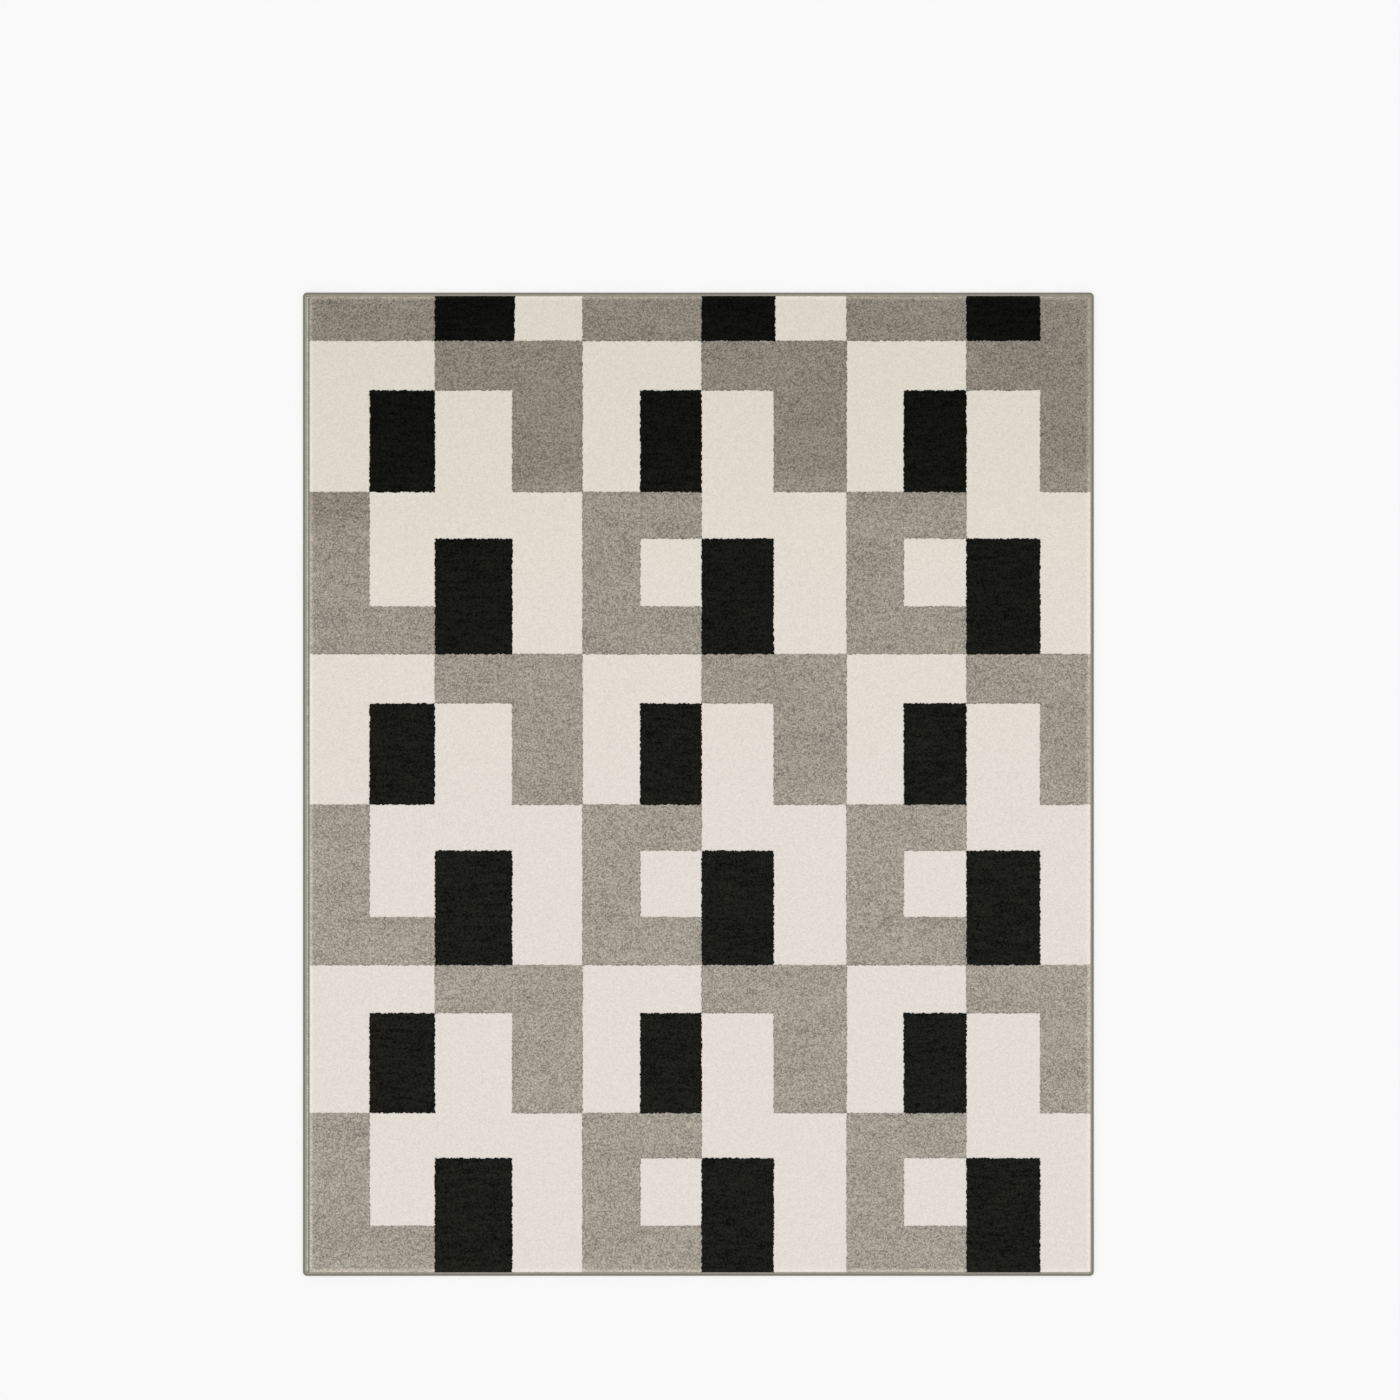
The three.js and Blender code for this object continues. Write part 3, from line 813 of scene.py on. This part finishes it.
def stitch_row():
    """Short round threads end to end along Y, each arching out of the furrow and back."""
    radius = (stitch_high.x - stitch_low.x) / 2
    count = int((stitch_high.y - stitch_low.y) / STITCH_PITCH)
    turn = np.radians(np.arange(0, 360, 45))
    along = np.linspace(-1, 1, 9)
    thickness = radius * np.sqrt(np.clip(1 - along ** 4, 0.05, 1))
    arch = STITCH_ARCH * (0.4 - along ** 2)
    ring_x = thickness[:, None] * np.cos(turn)
    ring_z = thickness[:, None] * np.sin(turn) * 0.6 + arch[:, None]
    one = np.stack([ring_x, np.broadcast_to(along[:, None] * STITCH_LENGTH / 2, ring_x.shape), ring_z],
                   axis=-1).reshape(-1, 3)
    number = np.arange(len(one)).reshape(len(along), len(turn))
    right = np.roll(number, -1, axis=1)
    skin = np.stack([number[:-1], right[:-1], right[1:], number[1:]], axis=-1).reshape(-1, 4).tolist()
    skin += [number[0][::-1].tolist(), number[-1].tolist()]
    points, faces = [], []
    centre_z = (stitch_low.z + stitch_high.z) / 2 - STITCH_SINK
    for i in range(count):
        centre_y = stitch_low.y + (i + 0.5) * STITCH_PITCH
        points.append(one + [furrow_x, centre_y, centre_z])
        faces += [[corner + i * len(one) for corner in face] for face in skin]
    return np.vstack(points), faces, [True] * len(faces)


# The thread is dark, and made darker still to carry the shade of the furrow it lies in: partly its own
# colour, partly painted shade.
stitch_thread = woven_material("polyester_overlock_thread", "#4A4740", "#6A675F", 0.8 * MM, 0.05)
stitches = new_mesh("selvedge_stitches", *stitch_row())
finish_piece(stitches, stitch_thread, "stitch_thread", "selvedge_stitch_row")
print(f"{(stitch_high.y - stitch_low.y) / STITCH_PITCH:.0f} stitches, {STITCH_LENGTH / MM:.1f} mm long")

# %% [markdown]
# ## Ground weave and back
#
# The ground weave is a coarse cloth of jute and polyester: thick wefts run across the rug, so it has
# ribs. Turned over, the rug shows those ribs through a thin coat of latex, and the pile yarns that
# pass under the wefts show the pattern in dull colours. The weave is the rug's one sheet of cloth, and
# all the other pieces go with it.

# %% Ground weave
WEFT_PITCH = 5 * MM
RIB = 0.25 * MM
corner_low, corner_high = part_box("serging_top_right_corner")


def inner_radius(high):
    """Corner radius of a sheet inside the serging, which follows the rug's rounded corner."""
    return corner_high.x - corner_low.x - (side_high.x - high.x)


ground_cloth = woven_material("jute_ground_weave", "#7D6A4C", "#B9A47F", 1.5 * MM, 0.0)
weave = new_mesh("ground_weave_cloth", *cloth_mesh(
    np.linspace(weave_low.x, weave_high.x, 13), even_steps(weave_low.y, weave_high.y, WEFT_PITCH / 2),
    lambda x, y: weave_high.z - RIB * zigzag(y - weave_low.y, WEFT_PITCH),
    lambda x, y: weave_low.z + RIB * zigzag(y - weave_low.y, WEFT_PITCH), inner_radius(weave_high)))
finish_piece(weave, ground_cloth, "ground_weave", "ground_weave")
print(f"weave: {weave_high.x - weave_low.x:.3f} x {weave_high.y - weave_low.y:.3f} m, "
      f"a weft every {WEFT_PITCH / MM:.0f} mm")

# %% Latex coat, with the yarns that show through it
SEAM = 0.4 * MM
KNOT = 4 * MM
WAVE_PERIOD = math.pi / 10  # the wave texture repeats this often at scale 1
coat_low, coat_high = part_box("latex_back_coat")


def latex_material():
    """Latex size on the back: a thin milky film, slightly shiny, with ribs, dull yarn colours, and
    painted shade between the wefts and round each knot.
    """
    material = bpy.data.materials.new("styrene_butadiene_latex_back_size")
    material.use_nodes = True
    tree = material.node_tree
    shader = tree.nodes["Principled BSDF"]
    place = add_node(tree, "TexCoord", {}).outputs["Object"]
    yarn = add_node(tree, "Attribute", {}, attribute_name="yarn_behind").outputs["Fac"]
    ramp = add_node(tree, "ValToRGB", {"Fac": yarn})
    ramp.color_ramp.elements[0].color = linear("#CFC6B2")
    ramp.color_ramp.elements[1].color = linear("#6F685A")
    knots = add_node(tree, "TexVoronoi", {"Vector": place, "Scale": 1 / KNOT, "Randomness": 0.35})
    wefts = add_node(tree, "TexWave", {"Vector": place, "Scale": WAVE_PERIOD / WEFT_PITCH,
                                       "Distortion": 0.6}, bands_direction="Y")
    film = add_node(tree, "TexNoise", {"Vector": place, "Scale": 1 / (60 * MM), "Detail": 3.0})
    # Painted shade: darker between the wefts and round each knot; the slow film noise is the latex's
    # own uneven tone.
    light = 0.82
    for source, strength in ((knots.outputs["Distance"], -0.5), (wefts.outputs["Fac"], 0.35),
                             (film.outputs["Fac"], 0.3)):
        light = add_node(tree, "Math", {0: source, 1: strength, 2: light},
                         operation="MULTIPLY_ADD").outputs[0]
    colour = add_node(tree, "VectorMath", {"Vector": ramp.outputs["Color"], "Scale": light},
                      operation="SCALE")
    bump = add_node(tree, "Bump", {"Height": light, "Strength": 0.8, "Distance": 1.0 * MM})
    tree.links.new(colour.outputs["Vector"], shader.inputs["Base Color"])
    tree.links.new(bump.outputs["Normal"], shader.inputs["Normal"])
    shader.inputs["Roughness"].default_value = 0.6
    shader.inputs["IOR"].default_value = 1.52
    return material


def beside_lines(lines, low, high):
    """Two places close to each side of every line, between low and high."""
    places = np.sort(np.concatenate([lines - SEAM, lines + SEAM]))
    inner = places[(places > low + SEAM) & (places < high - SEAM)]
    return np.concatenate([[low], inner, [high]])


coat = new_mesh("latex_back", *cloth_mesh(
    beside_lines(column_lines, coat_low.x, coat_high.x),
    even_steps(coat_low.y, coat_high.y, WEFT_PITCH / 2),
    lambda x, y: coat_high.z + 0 * x,
    lambda x, y: coat_low.z + RIB * zigzag(y - coat_low.y, WEFT_PITCH), inner_radius(coat_high)))
darkness = {"cream": 0.0, "grey": 0.5, "black": 1.0}
tone_of_cell = np.array([[darkness[solid.split("_")[0]] for solid in row] for row in yarn_map])
places = np.array([vertex.co for vertex in coat.data.vertices])
column = np.clip(np.searchsorted(column_lines, places[:, 0]) - 1, 0, len(column_middles) - 1)
row = np.clip(np.searchsorted(row_lines, places[:, 1]) - 1, 0, len(row_middles) - 1)
name_field(coat, "yarn_behind", tone_of_cell[row, column])
finish_piece(coat, latex_material(), "latex_coat", "latex_back_coat")
print(f"back: {len(coat.data.polygons)} faces, {coat_high.z / MM:.1f} mm of latex")

# %% [markdown]
# ## The floor
#
# The rug lies on a plain floor in matt white paint, big enough to fill the view. It has no gloss, so
# nothing is mirrored beside the rug, and only the faintest mottling.

# %% Floor
def floor_material():
    """Smooth pale paint with the faintest mottling, so that the floor reads as a real surface."""
    material = bpy.data.materials.new("matt_white_floor_paint")
    material.use_nodes = True
    tree = material.node_tree
    shader = tree.nodes["Principled BSDF"]
    place = add_node(tree, "TexCoord", {}).outputs["Object"]
    mottle = add_node(tree, "TexNoise", {"Vector": place, "Scale": 1.5, "Detail": 2.0})
    ramp = add_node(tree, "ValToRGB", {"Fac": mottle.outputs["Fac"]})
    ramp.color_ramp.elements[0].color = linear("#F0F0F0")
    ramp.color_ramp.elements[1].color = linear("#F2F2F2")
    tree.links.new(ramp.outputs["Color"], shader.inputs["Base Color"])
    shader.inputs["Roughness"].default_value = 0.95
    shader.inputs["Specular IOR Level"].default_value = 0.0
    return material


FLOOR_REACH = 60.0
bpy.ops.mesh.primitive_plane_add(size=2 * FLOOR_REACH, location=(0, 0, cad_low.z))
floor = bpy.context.object
floor.name = "floor"
floor.data.materials.append(floor_material())
print("floor level with the underside of the rug")

# %% [markdown]
# ## The cloth
#
# The weave is cut to the rug's size less the nose of the serging all round, and it is laid flat on the
# floor with everything that is tied, sewn or coated onto it.

# %% [markdown]
# ## Light and camera
#
# A rug shows its pattern flat and true from straight above, in even light. Most of the light here is a
# broad sun close to overhead, and the rest comes from the whole sky, so the pile has soft relief and
# hardly any shadow. The camera hangs over a point beyond the middle of the rug, which leaves more
# floor past its far end than before its near one.

# %% Soft studio light
world = bpy.data.worlds.new("white_studio")
bpy.context.scene.world = world
world.use_nodes = True
world.node_tree.nodes["Background"].inputs["Color"].default_value = (1, 1, 1, 1)
world.node_tree.nodes["Background"].inputs["Strength"].default_value = 0.50

overhead = bpy.data.lights.new("overhead_softbox", "SUN")
overhead.energy = 1.85
overhead.angle = math.radians(25)
overhead_object = bpy.data.objects.new("overhead_softbox", overhead)
overhead_object.rotation_euler = (math.radians(-9), math.radians(-7), 0)
bpy.context.scene.collection.objects.link(overhead_object)
bpy.context.scene.view_settings.view_transform = "Standard"
print(f"light: a sun of strength {overhead.energy:.2f}, and sky")

# %% Camera straight above
VIEW_WIDTH = 1.7686 * rug_width
SHIFT_UP = 0.0856 * rug_length
SHIFT_RIGHT = 0.005
camera = bpy.data.cameras.new("camera")
camera.lens = 85
camera.clip_end = 200
height = VIEW_WIDTH * camera.lens / camera.sensor_width
camera_object = bpy.data.objects.new("camera", camera)
camera_object.location = (SHIFT_RIGHT, SHIFT_UP, cad_high.z + height)
bpy.context.scene.collection.objects.link(camera_object)
bpy.context.scene.camera = camera_object
print(f"camera {height:.2f} m above the pile, seeing {VIEW_WIDTH:.2f} m")
